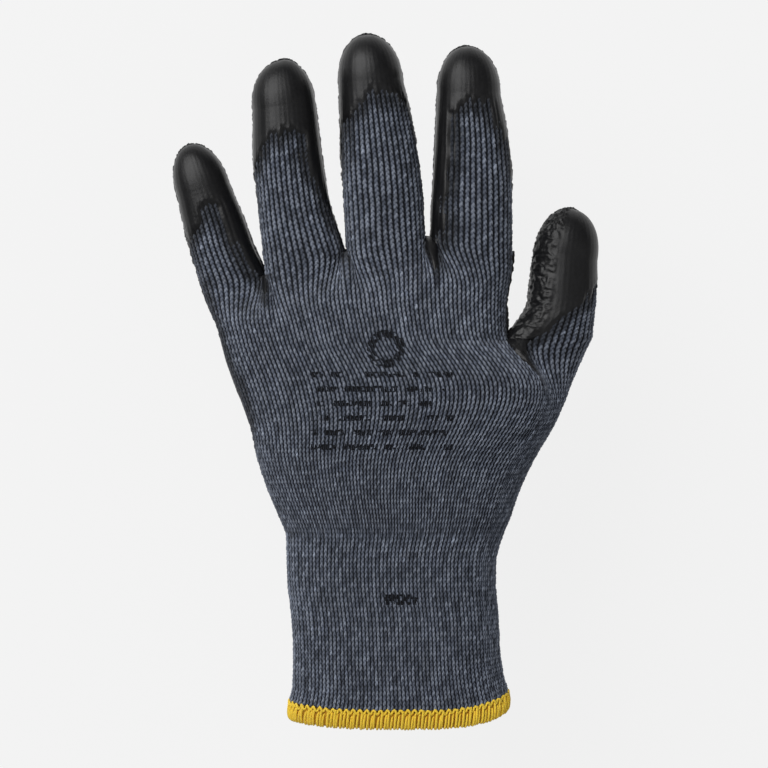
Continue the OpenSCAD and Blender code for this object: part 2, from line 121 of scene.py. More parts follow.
# In metres and watts. The floor is low enough for the fingers and the cuff to bend down.
FLOOR_DROP = 0.062
FLOOR_REACH = 4.0
FLOOR_GREY = 0.07
FLOOR_GLOW = 0.845
WORLD_STRENGTH = 0.12
LIGHTS = (("key", (-0.7, 0.75, 1.1), 1.5, 21), ("fill", (0.9, -0.4, 1.2), 2.0, 3.5))
CAMERA_LENS = 150
SENSOR_WIDTH = 36
VIEW_WIDTH = 0.2643
VIEW_PLANE = 0.012
VIEW_CENTRE = (-0.0003, -0.0010)
CAMERA_HEIGHT = VIEW_PLANE + VIEW_WIDTH * CAMERA_LENS / SENSOR_WIDTH


def smooth(x):
    x = np.clip(x, 0, 1)
    return x * x * (3 - 2 * x)


def arc(x):
    """Rises like a quarter circle: steep at first, level at 1."""
    x = np.clip(x, 0, 1)
    return np.sqrt(1 - (1 - x) ** 2)


def mix(a, b, share):
    return a + (b - a) * share


def unit(vectors):
    return vectors / np.maximum(np.linalg.norm(vectors, axis=-1, keepdims=True), 1e-9)


def keep_above(points, height):
    points[..., 2] = np.maximum(points[..., 2], height)


def nearest(values, wanted):
    return int(np.argmin(np.abs(values - wanted)))


def fold(c, wales):
    """The wale of the back that a wale of the whole loop lies over. Loops have 2 * wales wales."""
    return np.where(c <= wales, c, 2 * wales - c)


def curve(x, stations, values):
    """A smooth line through the values at the stations, level beyond the ends."""
    stations = np.asarray(stations, float)
    values = np.asarray(values, float)
    slopes = np.gradient(values, stations)
    x = np.clip(x, stations[0], stations[-1])
    k = np.clip(np.searchsorted(stations, x, side="right") - 1, 0, len(stations) - 2)
    step = stations[k + 1] - stations[k]
    t = (x - stations[k]) / step
    rise = (2 * t ** 3 - 3 * t ** 2 + 1) * values[k] + (3 * t ** 2 - 2 * t ** 3) * values[k + 1]
    turn = (t ** 3 - 2 * t ** 2 + t) * slopes[k] + (t ** 3 - t ** 2) * slopes[k + 1]
    return rise + turn * step


def half_round(u, power, aspect):
    """Even steps over the upper half of a rounded section: across from -1 to 1, and up from 0 to 1."""
    angle = np.linspace(math.pi, 0, 2001)
    across = np.sign(np.cos(angle)) * np.abs(np.cos(angle)) ** (2 / power)
    up = np.abs(np.sin(angle)) ** (2 / power)
    length = np.concatenate([[0], np.cumsum(np.hypot(np.diff(across), aspect * np.diff(up)))])
    length /= length[-1]
    return np.interp(u, length, across), np.interp(u, length, up)


TABLE = np.random.default_rng(7).random((256, 256))


def cell_noise(i, j, seed=0):
    """One random number from 0 to 1 for each cell."""
    i = np.floor(i).astype(int) + 37 * seed
    j = np.floor(j).astype(int) + 91 * seed
    return TABLE[i % 256, j % 256]


def noise(x, y, seed=0):
    """Smooth noise from 0 to 1 with one cell per unit."""
    i, j = np.floor(x), np.floor(y)
    s, t = smooth(x - i), smooth(y - j)
    low = mix(cell_noise(i, j, seed), cell_noise(i + 1, j, seed), s)
    high = mix(cell_noise(i, j + 1, seed), cell_noise(i + 1, j + 1, seed), s)
    return mix(low, high, t)


def crinkle(x, y, seed=0):
    """The crossing wrinkles of crinkled latex, from 0 to 1. x and y are in millimetres."""
    bend_x = x + 1.3 * noise(x / 2.1, y / 2.1, seed + 1)
    bend_y = y + 1.3 * noise(x / 2.1, y / 2.1, seed + 2)
    fine = 1 - np.abs(2 * noise(bend_x / 1.05, bend_y / 1.05, seed + 3) - 1)
    coarse = 1 - np.abs(2 * noise(bend_x / 2.1, bend_y / 2.1, seed + 4) - 1)
    return 0.7 * fine ** 2 + 0.3 * coarse ** 2


class Finger:
    """One finger of the glove: a tube between a left and a right outline, closed by a round tip.

    left and right are how far each side stands from the line through the hinges, at the root,
    at thirds of the straight part, and where the tip starts. film_left and film_right are how far
    the coating comes over each side, at the same places, and film_back is where it starts along
    the back, at the left, in the middle and at the right. tip_shift moves the tip sideways."""

    def __init__(self, name, left, right, film_left, film_right, film_back, tip_shift=0.0):
        root = JOINTS[name + "_root_bend"]
        self.name = name
        self.wales = BACK_WALES[name]
        self.first_course = THUMB_COURSE if name == "thumb" else 0
        self.root = np.array(root["pos_m"][:2]) / MM
        self.across = -np.array(root["axis"][:2])
        self.along = np.array([-self.across[1], self.across[0]])
        tip = frame["nodes"][name + "_tip_coating"]
        corners = np.array([v.co[:2] for v in tip.data.vertices]) / MM
        self.reach = float(((corners - self.root) @ self.along).max()) - TIP_INSET
        self.straight = self.reach - CAP_LENGTH
        self.left, self.right = left, right
        self.film_left, self.film_right, self.film_back = film_left, film_right, film_back
        self.root_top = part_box(name + "_root_liner")[1].z / MM
        self.tip_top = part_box(name + "_tip_liner")[1].z / MM
        self.body_rows = round(self.straight / FINGER_COURSE)
        self.rows = self.body_rows + round(1.4 * CAP_LENGTH / FINGER_COURSE)
        self.left_base = self.right_base = 0.0
        self.shift = np.zeros(3)
        self.tip_shift = tip_shift

    def side(self, values, station):
        return curve(np.clip(station / self.straight, 0, 1), np.arange(4) / 3, values)

    def station_at(self, y, values):
        """How far along the finger the root of a side is at the height y."""
        return (y - self.root[1] - self.across[1] * values[0]) / self.along[1]

    def start_at(self, left_y, right_y):
        self.left_base = self.station_at(left_y, self.left)
        self.right_base = self.station_at(right_y, self.right)

    def stations(self, row):
        """Where a course crosses the left side and the right side."""
        body = np.clip(row / self.body_rows, 0, 1)
        cap = np.clip((row - self.body_rows) / (self.rows - self.body_rows), 0, 1)
        beyond = CAP_LENGTH * np.sin(math.pi / 2 * cap) ** (2 / CAP_POWER)
        low = mix(self.left_base, self.straight, body) + beyond
        high = mix(self.right_base, self.straight, body) + beyond
        return low, high, np.cos(math.pi / 2 * cap)

    def edge(self, values, station, inset):
        offset = self.side(values, station) + inset
        return self.root + station[..., None] * self.along + offset[..., None] * self.across

    def point(self, row, u, side):
        """A point of the knit's own surface. side is 1 on the back and -1 on the palm side."""
        row, u = np.broadcast_arrays(row, u)
        low, high, factor = self.stations(row)
        left = self.edge(self.left, low, INSET)
        right = self.edge(self.right, high, -INSET)
        across, up = half_round(u, FINGER_POWER, FINGER_ASPECT)
        flat = (left + right) / 2 + (right - left) / 2 * (across * factor)[..., None]
        flat = flat + (self.tip_shift * (1 - factor) ** 1.5)[..., None] * self.across
        share = np.clip((low + high) / 2 / self.straight, 0, 1)
        half = mix(self.root_top, self.tip_top, share) / (1 + 1 / PRESS)
        z = half / PRESS + side * half * factor * up
        result = np.concatenate([flat, np.maximum(z, FILM)[..., None]], axis=-1)
        fade = (1 - smooth(u / MEETING_SHARE)) * (1 - smooth(row / 9))
        return result + fade[..., None] * self.shift

    def loop_point(self, c, row):
        """The same, with wales counted round the finger: over the back, then under the palm side."""
        c, row = np.broadcast_arrays(c, row)
        u = fold(c, self.wales) / self.wales
        back = (c <= self.wales)[..., None]
        return np.where(back, self.point(row, u, 1), self.point(row, u, -1))

    def film_depth(self, c, row):
        """How far inside the coating's edge a place is, in millimetres."""
        u = fold(c, self.wales) / self.wales
        low, high, _ = self.stations(row)
        station = mix(low, high, u)
        girth = OVER_BACK * (self.side(self.right, station) - self.side(self.left, station))
        from_left, from_right = u * girth, (1 - u) * girth
        reach_left = self.side(self.film_left, station)
        reach_right = self.side(self.film_right, station)
        on_back = np.maximum(reach_left - from_left, reach_right - from_right)
        below = np.minimum(reach_left + from_left, reach_right + from_right)
        tip_line = curve(u, [0, 0.5, 1], self.film_back)
        return np.maximum(np.where(c <= self.wales, on_back, below), station - tip_line)


little = Finger("little", (-12.4, -12.0, -11.2, -10.0), (10.4, 9.0, 8.6, 7.6),
                (0.6, 1.0, 2.5, 6.0), (8.5, 12.0, 13.0, 11.0), (15.0, 25.5, 19.0))
ring = Finger("ring", (-15.4, -15.2, -14.7, -12.9), (12.6, 9.0, 8.2, 7.9),
              (-1.5, -0.5, 2.0, 6.0), (1.8, 6.0, 11.5, 12.0), (27.0, 41.0, 29.0), 2.0)
middle = Finger("middle", (-14.7, -14.1, -13.1, -11.9), (12.7, 13.1, 11.8, 9.2),
                (-1.5, 0.5, 6.0, 10.0), (0.5, 0.5, 1.5, 6.0), (33.0, 47.5, 40.0), -0.6)
index = Finger("index", (-13.0, -12.2, -11.2, -10.2), (14.6, 14.6, 13.4, 10.6),
               (10.0, 11.5, 12.0, 12.0), (-4.5, 0.5, 7.5, 11.0), (30.0, 42.5, 38.0), -1.0)
thumb = Finger("thumb", (-14.3, -10.2, -10.1, -10.2), (13.8, 13.2, 12.6, 11.0),
               (14.0, 21.0, 29.0, 40.0), (-5.0, -4.0, -2.0, 4.0), (24.0, 27.0, 29.0))
FINGERS = [little, ring, middle, index]
ALL_FINGERS = FINGERS + [thumb]

first = 0
for finger in FINGERS:
    finger.first = first
    first += finger.wales + WEB_WALES
PALM_WALES = first - WEB_WALES
thumb.first = PALM_WALES
HAND_WALES = PALM_WALES + thumb.wales

# Heights of the crotches, above the mean of the two hinges beside them.
WEB_LIFT = (-2.2, -2.0, -0.8)
LITTLE_SIDE_DROP = -1.0
INDEX_SIDE_DROP = 5.5
webs = [
    (a.root[1] + b.root[1]) / 2 + lift
    for a, b, lift in zip(FINGERS[:-1], FINGERS[1:], WEB_LIFT)
]
little.start_at(little.root[1] - LITTLE_SIDE_DROP, webs[0])
ring.start_at(webs[0], webs[1])
middle.start_at(webs[1], webs[2])
index.start_at(webs[2], index.root[1] - INDEX_SIDE_DROP)

# The hand's outline: height above the wrist hinge, and reach to the left and right of it.
LEFT_SIDE = ((-70, -37.0), (-63.5, -36.6), (-57, -35.2), (-50, -35.0), (-33, -35.4), (-18, -37.0),
             (-8, -37.3), (-2, -37.6), (4, -40.0), (11, -42.9), (23, -47.0), (35.4, -49.8),
             (47.8, -54.3), (56, -57.4), (68.4, -61.1), (76.7, -64.2), (88, -67.8))
RIGHT_SIDE = ((-70, 39.0), (-60.5, 38.9), (-57, 38.0), (-50, 36.9), (-33, 35.9), (-18, 34.9),
              (-10, 35.3), (-2, 37.8), (4, 40.1), (11, 42.4), (23, 47.9), (35.4, 55.1),
              (47.8, 60.6), (56, 64.4), (63, 67.6), (70, 70.0))
PALM_SIDE = ((-2, 37.0), (15, 44.0), (30, 49.0), (43.7, 51.4), (50, 49.3), (56, 44.8), (63.2, 39.5),
             (71.2, 38.4), (79.7, 38.7), (90.7, 40.0), (96, 40.4))
KNUCKLE_TOP = middle.root_top
HEEL_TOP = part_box("heel_liner")[1].z / MM - 1.0
CUFF_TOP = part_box("rib_cuff")[1].z / MM
TOP_LINE = ((-60, CUFF_TOP), (-5, CUFF_TOP), (25, HEEL_TOP), (55, HEEL_TOP - 1.5),
            (78, HEEL_TOP - 7), (98, KNUCKLE_TOP))
THUMB_LEAN = math.tan(math.radians(27))
BLEND_LENGTH = 17.0
WEB_FILM = 3.2
PALM_SHARE = 0.88


def side_of(points, y):
    return WRIST[0] + curve(y - WRIST_Y, *zip(*points))


def section(u, y, right_side, side):
    """The hand's rounded section at the height y, with even steps u from left to right."""
    left = side_of(LEFT_SIDE, y) + INSET + 0.4
    right = side_of(right_side, y) - INSET
    across, up = half_round(u, HAND_POWER, HAND_ASPECT)
    half = curve(y - WRIST_Y, *zip(*TOP_LINE)) / (1 + 1 / PRESS)
    x = (left + right) / 2 + (right - left) / 2 * across
    z = np.maximum(half / PRESS + side * half * up, FILM)
    return x, z


def wide_share(c):
    """Where a wale stands across the hand once the thumb's wales have joined, from 0 to 1."""
    return np.interp(c, [0, PALM_WALES, HAND_WALES], [0, PALM_SHARE, 1])


def base_ring(c, side, row=0.0):
    """Where the hand's wales start, round the roots of the fingers and along the webs.

    With a row above 0 the points lie that far up the fingers instead."""
    result = np.zeros(c.shape + (3,))
    for finger in FINGERS:
        inside = (c >= finger.first) & (c <= finger.first + finger.wales)
        u = (c[inside] - finger.first) / finger.wales
        result[inside] = finger.point(np.full(u.shape, row), u, side)
    for a, b in zip(FINGERS[:-1], FINGERS[1:]):
        end = a.first + a.wales
        inside = (c > end) & (c < b.first)
        share = ((c[inside] - end) / WEB_WALES)[:, None]
        start = a.point(np.full(1, row), np.ones(1), side)
        stop = b.point(np.full(1, row), np.zeros(1), side)
        result[inside] = mix(start, stop, share)
    return result


def web_distance(c):
    """How many wales a column is from the nearest web between two fingers."""
    centres = [finger.first - WEB_WALES / 2 for finger in FINGERS[1:]]
    return np.min([np.abs(c - centre) for centre in centres], axis=0)


def course_y(top, row, first_row):
    """Height of a course of the hand or the cuff, for a wale that starts at the height top."""
    in_hand = mix(top, WRIST_Y, (row - first_row) / (HAND_COURSES - first_row))
    in_cuff = mix(WRIST_Y, CUFF_END, (row - HAND_COURSES) / CUFF_COURSES)
    return np.where(row <= HAND_COURSES, in_hand, in_cuff)


def palm_point(c, row, side):
    """A point of the hand in a wale that comes from one of the four fingers."""
    start = base_ring(c, side)
    centres = [finger.first + finger.wales / 2 for finger in FINGERS]
    leans = [finger.along[0] / finger.along[1] for finger in FINGERS]
    lean = np.interp(c, centres, leans)
    y = course_y(start[..., 1], row, 0)
    below = start[..., 1] - y
    x_near, z_near = section(c / PALM_WALES, y, PALM_SIDE, side)
    turn = smooth(below / BLEND_LENGTH)
    at_web = np.exp(-(web_distance(c) / 2.6) ** 2)
    lift = mix(turn, arc(below / 13), at_web)
    x = mix(start[..., 0] - lean * below, x_near, turn)
    z = mix(start[..., 2], z_near, lift)
    x_wide, z_wide = section(wide_share(c), y, RIGHT_SIDE, side)
    past = THUMB_Y - y
    x = mix(x, x_wide, smooth(past / 45))
    z = mix(z, z_wide, np.where(past > 0, arc(past / 17), 0))
    return np.stack([x, y, z], axis=-1)


def thumb_side_point(c, row, side):
    """A point of the hand in a wale that comes from the thumb."""
    u = (c - thumb.first) / thumb.wales
    start = thumb.point(np.zeros(u.shape), u, side)
    y = course_y(start[..., 1], row, THUMB_COURSE)
    below = start[..., 1] - y
    x_wide, z_wide = section(wide_share(c), y, RIGHT_SIDE, side)
    turn = smooth(below / 24)
    x = mix(start[..., 0] - THUMB_LEAN * below, x_wide, turn)
    z = mix(start[..., 2], z_wide, turn)
    return np.stack([x, y, z], axis=-1)


def hand_point(c, row, side):
    """A point of the hand or the cuff. side is 1 on the back and -1 on the palm side."""
    c, row = np.broadcast_arrays(c, row)
    from_thumb = c > PALM_WALES
    result = palm_point(np.minimum(c, PALM_WALES), row, side)
    if from_thumb.any():
        edge = result[from_thumb]
        c_in, row_in = c[from_thumb], row[from_thumb]
        row_low = np.maximum(row_in, THUMB_COURSE)
        own = thumb_side_point(c_in, row_low, side)
        own_edge = thumb_side_point(np.full(c_in.shape, float(PALM_WALES)), row_low, side)
        fade = 1 - smooth((c_in - PALM_WALES) / thumb.wales / MEETING_SHARE)
        moved = own + fade[:, None] * (edge - own_edge)
        result[from_thumb] = np.where((row_in < THUMB_COURSE)[:, None], edge, moved)
    return result


def hand_loop_point(c, row):
    c, row = np.broadcast_arrays(c, row)
    folded = fold(c, HAND_WALES)
    back = (c <= HAND_WALES)[..., None]
    return np.where(back, hand_point(folded, row, 1), hand_point(folded, row, -1))


right_root = index.point(np.zeros(1), np.ones(1), 1)[0]
THUMB_Y = mix(right_root[1], WRIST_Y, THUMB_COURSE / HAND_COURSES)
thumb.start_at(THUMB_Y, THUMB_Y + 1.5)
crotch = palm_point(np.array([float(PALM_WALES)]), np.array([float(THUMB_COURSE)]), 1)[0]
thumb.shift = crotch - thumb.point(np.zeros(1), np.zeros(1), 1)[0]


def stitch(c, row, spread, seed=0):
    """Height of the knit's face, from 0 in the gaps to 1 on the yarn: two leaning legs a stitch."""
    sway = 0.16 * (noise(c / 3, row / 4, seed + 5) - 0.5)
    c = c + sway
    wale = np.floor(c)
    x = c - wale - 0.5
    height = np.zeros(c.shape)
    for shift in (-1, 0, 1):
        course = np.floor(row) - shift
        bulge = 0.74 + 0.5 * cell_noise(wale, course, seed + 6)
        for leg in (-1, 1):
            f = row - course + 0.16 * leg
            rise = np.clip(np.sin(math.pi * np.clip((f + 0.2) / 1.4, 0, 1)), 0, 1) ** 0.8
            centre = leg * spread * (0.34 + 0.95 * f) + 0.05
            width = 0.2 + 0.07 * cell_noise(wale + 50 * leg, course, seed + 7) - 0.02 * leg
            dome = np.sqrt(np.clip(1 - ((x - centre) / width) ** 2, 0, 1))
            height = np.maximum(height, bulge * rise * dome)
    return np.clip(height, 0, 1.15)


def yarn_tone(c, row, seed=0):
    """Lightness of the mixed yarn, about 1: each stitch differs, and slubs are lighter."""
    each = cell_noise(c, row, seed + 8)
    leg = cell_noise(2 * c, row, seed + 9)
    drift = noise(c / 2.2, row / 3.1, seed + 10)
    slub = np.where(cell_noise(c, row, seed + 11) > 0.985, 0.5, 0)
    return 0.56 + 0.24 * each + 0.24 * leg + 0.36 * drift + slub


def normals(points):
    """Outward directions of a closed grid, whose columns run left to right over the back."""
    ringed = np.concatenate([points[:, -2:-1], points, points[:, 1:2]], axis=1)
    return unit(np.cross(np.gradient(points, axis=0), ringed[:, 2:] - ringed[:, :-2]))


def add_object(name, data):
    piece = bpy.data.objects.new(name, data)
    bpy.context.scene.collection.objects.link(piece)
    return piece


def add_mesh(name, points, keep, material, values):
    """A mesh from a closed grid of points in millimetres, with the faces that keep marks.

    values are numbers for each point, which its material reads."""
    rows, cols = points.shape[:2]
    number = np.arange(rows * cols).reshape(rows, cols)
    faces = np.stack([number[:-1, :-1], number[1:, :-1], number[1:, 1:], number[:-1, 1:]], axis=-1)
    faces = faces[keep]
    used, index_of = np.unique(faces, return_inverse=True)
    faces = index_of.reshape(-1, 4)
    mesh = bpy.data.meshes.new(name)
    mesh.vertices.add(len(used))
    mesh.vertices.foreach_set("co", (points.reshape(-1, 3)[used] * MM).astype(np.float32).ravel())
    mesh.loops.add(faces.size)
    mesh.loops.foreach_set("vertex_index", faces.astype(np.int32).ravel())
    mesh.polygons.add(len(faces))
    mesh.polygons.foreach_set("loop_start", np.arange(0, faces.size, 4, dtype=np.int32))
    mesh.update(calc_edges=True)
    mesh.polygons.foreach_set("use_smooth", np.ones(len(faces), bool))
    for key, value in values.items():
        attribute = mesh.attributes.new(key, "FLOAT", "POINT")
        attribute.data.foreach_set("value", value.ravel()[used].astype(np.float32))
    layer = mesh.uv_layers.new(name="OFBake")
    u, v = np.meshgrid(np.linspace(0, 1, cols), np.linspace(0, 1, rows))
    spots = np.stack([u, v], axis=-1).reshape(-1, 2)[used][faces.ravel()]
    layer.data.foreach_set("uv", spots.astype(np.float32).ravel())
    mesh.validate()
    mesh.materials.append(material)
    return add_object(name, mesh)


def steps(start, stop, each):
    return np.linspace(start, stop, max(1, round((stop - start) * each)) + 1)


# ---- Materials ----
def shade_nodes(name, roughness, **sockets):
    """A material with its Principled shader, whose plain numbers sit on the shader's own sockets."""
    material = bpy.data.materials.new(name)
    material.use_nodes = True
    tree = material.node_tree
    shader = tree.nodes["Principled BSDF"]
    shader.inputs["Roughness"].default_value = roughness
    for key, value in sockets.items():
        shader.inputs[key.replace("_", " ")].default_value = value
    return material, tree, shader


def add_node(tree, kind, **settings):
    node = tree.nodes.new(kind)
    for key, value in settings.items():
        setattr(node, key, value)
    return node


def attribute(tree, name):
    return add_node(tree, "ShaderNodeAttribute", attribute_name=name).outputs["Fac"]


def ramp(tree, source, stops):
    node = add_node(tree, "ShaderNodeValToRGB")
    elements = node.color_ramp.elements
    while len(elements) < len(stops):
        elements.new(0.5)
    for element, (place, colour) in zip(elements, stops):
        element.position = place
        element.color = (*colour, 1)
    tree.links.new(source, node.inputs["Fac"])
    return node.outputs["Color"]


def texture(tree, scale, detail, stretch=(1, 1, 1)):
    """Noise in the object's own space, with scale features to the metre."""
    place = add_node(tree, "ShaderNodeTexCoord")
    mapping = add_node(tree, "ShaderNodeMapping")
    mapping.inputs["Scale"].default_value = stretch
    found = add_node(tree, "ShaderNodeTexNoise")
    found.inputs["Scale"].default_value = scale
    found.inputs["Detail"].default_value = detail
    tree.links.new(place.outputs["Object"], mapping.inputs["Vector"])
    tree.links.new(mapping.outputs["Vector"], found.inputs["Vector"])
    return found.outputs["Fac"]


def scaled(tree, source, low, high):
    """A number from 0 to 1, stretched to run from low to high."""
    node = add_node(tree, "ShaderNodeMapRange")
    node.inputs["To Min"].default_value = low
    node.inputs["To Max"].default_value = high
    tree.links.new(source, node.inputs["Value"])
    return node.outputs["Result"]


def multiply(tree, a, b):
    node = add_node(tree, "ShaderNodeMath", operation="MULTIPLY")
    tree.links.new(a, node.inputs[0])
    tree.links.new(b, node.inputs[1])
    return node.outputs["Value"]


def tint(tree, colour, value):
    """The colour times a number."""
    node = add_node(tree, "ShaderNodeVectorMath", operation="SCALE")
    tree.links.new(colour, node.inputs[0])
    tree.links.new(value, node.inputs["Scale"])
    return node.outputs["Vector"]


def bump(tree, shader, source, distance, strength):
    """Bumps on a shader. distance is in metres."""
    node = add_node(tree, "ShaderNodeBump")
    node.inputs["Distance"].default_value = distance
    node.inputs["Strength"].default_value = strength
    tree.links.new(source, node.inputs["Height"])
    tree.links.new(node.outputs["Normal"], shader.inputs["Normal"])


def knit_material():
    """Mixed blue-grey yarn with fibres, with painted shade in the gaps and a painted highlight on the
    ridges.
    """
    material, tree, shader = shade_nodes("melange_knit", 0.95, Sheen_Weight=0.12,
                                         Sheen_Roughness=0.6, Specular_IOR_Level=0.15)
    # Painted shade and highlight: near black where the yarn is low, in the gaps, and light on the tops
    # of the ridges.
    depth = ramp(tree, attribute(tree, "relief"), [
        (0.0, (0.003, 0.004, 0.007)), (0.35, (0.013, 0.016, 0.023)),
        (0.7, (0.108, 0.125, 0.166)), (1.0, (0.225, 0.25, 0.305))])
    fibres = scaled(tree, texture(tree, 5200, 4, (1.6, 0.6, 1)), 0.25, 1.75)
    patches = scaled(tree, texture(tree, 420, 2), 0.8, 1.2)
    tone = multiply(tree, multiply(tree, fibres, patches), attribute(tree, "tone"))
    tree.links.new(tint(tree, depth, tone), shader.inputs["Base Color"])
    bump(tree, shader, texture(tree, 6500, 3, (1.6, 0.5, 1)), 0.00012, 0.8)
    return material


def grained_material(name, roughness, grain, stops, bumps, **sockets):
    """Noise in a material's colour, of the scale, detail and stretch in grain, and in its bumps."""
    material, tree, shader = shade_nodes(name, roughness, **sockets)
    tree.links.new(ramp(tree, texture(tree, *grain), stops), shader.inputs["Base Color"])
    bump(tree, shader, texture(tree, *bumps[:2]), *bumps[2:])
    return material, tree, shader


def rubber_material():
    """Black latex, satin on the smooth dip and duller in patches."""
    material, tree, shader = grained_material(
        "black_latex", 0.5, (900, 4), [(0.3, (0.005, 0.005, 0.0055)), (0.7, (0.0095, 0.0095, 0.0105))],
        (3000, 4, 0.00006, 0.7), Specular_IOR_Level=0.34)
    rough = scaled(tree, texture(tree, 260, 5, (1, 0.4, 1)), 0.26, 0.5)
    tree.links.new(rough, shader.inputs["Roughness"])
    return material


def thread_material(name, dark, light):
    """Sewing or elastic thread, with fibres along it."""
    return grained_material(
        name, 0.8, (4200, 4, (1, 0.4, 1)), [(0.25, dark), (0.75, light)],
        (5460, 3, 0.0001, 0.8), Sheen_Weight=0.15, Specular_IOR_Level=0.25)[0]


KNIT = knit_material()
RUBBER = rubber_material()
YELLOW = thread_material("overlock_thread", (0.9, 0.56, 0.035), (1.0, 0.76, 0.075))
# The bed is the overlock's yellow made dark orange-brown: painted shade under and between the wraps.
SHADED_YELLOW_BED = thread_material("overlock_bed", (0.32, 0.13, 0.008), (0.70, 0.40, 0.02))
ELASTIC = thread_material("elastic_yarn", (0.05, 0.055, 0.065), (0.16, 0.17, 0.19))
INK = grained_material(
    "screen_print", 0.8, (2500, 4), [(0.3, (0.003, 0.003, 0.004)), (0.75, (0.013, 0.014, 0.018))],
    (5000, 3, 0.00008, 0.6), Specular_IOR_Level=0.15)[0]


# ---- Knit and coating ----
def relief_at(row):
    """Height of the yarn, the spread of its two legs and the cuff's share, by course.

    Courses below 0 are the fingers'."""
    to_hand = smooth(row / 10)
    to_cuff = smooth((row - HAND_COURSES + 2) / 6)
    height = mix(RELIEF, CUFF_RELIEF, to_cuff)
    spread = mix(mix(FINGER_SPREAD, HAND_SPREAD, to_hand), CUFF_SPREAD, to_cuff)
    return height, spread, to_cuff


def knit_surface(points, out, c, row, depth):
    """Stitches on the surface, with their height, which the material paints as shade in the gaps and
    highlight on the ridges, and their tone, darker by the coating.
    """
    height, spread, cuff = relief_at(row)
    cuff_c = c * CUFF_WALES / HAND_WALES
    face = stitch(c, row, spread)
    if cuff.any():
        face = mix(face, stitch(cuff_c, row, spread, 60), cuff)
    ribs = np.cos(2 * math.pi * (cuff_c / 3 + 0.5 * noise(c / 9, row / 15, 30)))
    fibres = 0.07 * (cell_noise(np.round(6 * c), np.round(6 * row), 44) - 0.5)
    raised = points + out * (height * face + 0.13 * cuff * ribs + fibres)[..., None]
    # Each grid is a closed loop, so its last column lies on its first.
    raised[:, -1] = raised[:, 0]
    keep_above(raised, KNIT_LEAST)
    # The height, a little lower in the cuff's rib furrows, becomes painted shade in the gaps and
    # furrows and painted highlight on the ridges.
    shaded_height = np.clip(face * (1 - 0.07 * cuff * (1 - ribs)), 0, 1)
    tone = np.where(cuff > 0.5, 1.12 * yarn_tone(cuff_c, row, 60), yarn_tone(c, row))
    return raised, {"relief": shaded_height, "tone": tone * soaked(depth)}


def ragged(c, row):
    """How far the coating's edge wanders, in millimetres."""
    return 3.4 * (cell_noise(c, 0 * c, 21) - 0.5) + 3.0 * (noise(c / 2.5, row / 3.5, 22) - 0.5)


def soaked(depth):
    """How much the latex in the yarn darkens the knit just outside the coating's edge."""
    return 1 - 0.72 * smooth((depth + 5) / 4.5)


def film_surface(points, out, c, row, depth, wrinkled):
    """The coating over the stitches: it sinks between them at its edge and evens out inside."""
    height, spread, _ = relief_at(row)
    face = stitch(c, row, spread)
    cover = smooth((depth + 2.0) / 7)
    level = -0.4 + (height + 0.55) * cover
    ribs = (0.34 - 0.28 * smooth((depth - 1) / 7)) * height * face * cover
    drift = 0.25 * (noise(c / 4, row / 6, 24) - 0.5) * cover
    wrinkle = 0.85 * wrinkled * crinkle(HAND_WALE * c, 1.65 * row, 25) * smooth(depth / 3)
    raised = points + out * (level + ribs + drift + wrinkle)[..., None]
    raised[:, -1] = raised[:, 0]
    keep_above(raised, 0)
    return raised


def finish_piece(name, points, keep, material, values, body, node, bend=None):
    """A finished piece that rides on a body; when bend is given, it stays in place on no body and does
    not bend.
    """
    piece = add_mesh(name, points, keep, material, values)
    if bend is None:
        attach(piece, body)
    else:
        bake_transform(piece)
    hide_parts(node)


def wrinkled_at(finger, c):
    """Where the wrinkled pad is, round a finger: it faces the palm.

    On the thumb it comes round the left side and into view from the back."""
    centre, half = (1.78, 0.52) if finger is thumb else (1.5, 0.42)
    loop = np.abs((c / finger.wales - centre + 1) % 2 - 1)
    return 1 - smooth((loop - half) / 0.12)


def finger_column(finger, c):
    """A finger's loop column above the hand's, and whether there is one."""
    own = fold(c, HAND_WALES) - finger.first
    inside = (own >= 0) & (own <= finger.wales)
    return np.where(c <= HAND_WALES, own, 2 * finger.wales - own), inside


def wrinkled_in_hand(c, row):
    """Where the hand's coating is wrinkled: all the palm, and at its top what the fingers need."""
    palm = smooth((c - HAND_WALES) / 5) * smooth((2 * HAND_WALES - c) / 5)
    result = palm
    for finger in ALL_FINGERS:
        local, inside = finger_column(finger, c)
        fade = smooth((row - finger.first_course) / 8)
        result = np.where(inside, mix(wrinkled_at(finger, local), palm, fade), result)
    return result


def bend_points(finger, start, stop):
    """The two ends of a bend on a finger's own line, in metres."""
    ends = [(finger.root + station * finger.along) * MM for station in (start, stop)]
    return [(float(x), float(y), 0.0) for x, y in ends]


def bends_of(finger):
    """The segments of a finger: name, where it stops, the bodies that it joins, and its bend."""
    base = max(finger.left_base, finger.right_base)
    slant = 0.4 * abs(finger.left_base - finger.right_base)
    upper = []
    for part in ("middle", "tip"):
        joint = JOINTS.get(f"{finger.name}_{part}_bend")
        if joint:
            place = np.array(joint["pos_m"][:2]) / MM
            upper.append((part, float((place - finger.root) @ finger.along)))
    segments = []
    hinge = upper[0][1]
    split = hinge - 5.5 - slant
    segments.append(("root", split, ("hand", finger.name + "_root"), base, split - slant))
    parent, start = "root", split + slant
    for i, (part, hinge) in enumerate(upper):
        stop = hinge + max(6.0, min(9.0, hinge - start))
        last = i == len(upper) - 1
        split = finger.reach if last else (stop + upper[i + 1][1] - 6) / 2
        bodies = (f"{finger.name}_{parent}", f"{finger.name}_{part}")
        begin = max(start, hinge - 9.0)
        segments.append((part, split, bodies, begin, stop))
        parent, start = part, split
    return segments


def cut_rows(finger, rows, segments):
    """Row numbers of the grid where the segments meet. rows run from the tip down to the root."""
    low, high, _ = finger.stations(rows)
    station = (low + high) / 2
    return [len(rows) - 1] + [nearest(station, segment[1]) for segment in segments[:-1]] + [0]


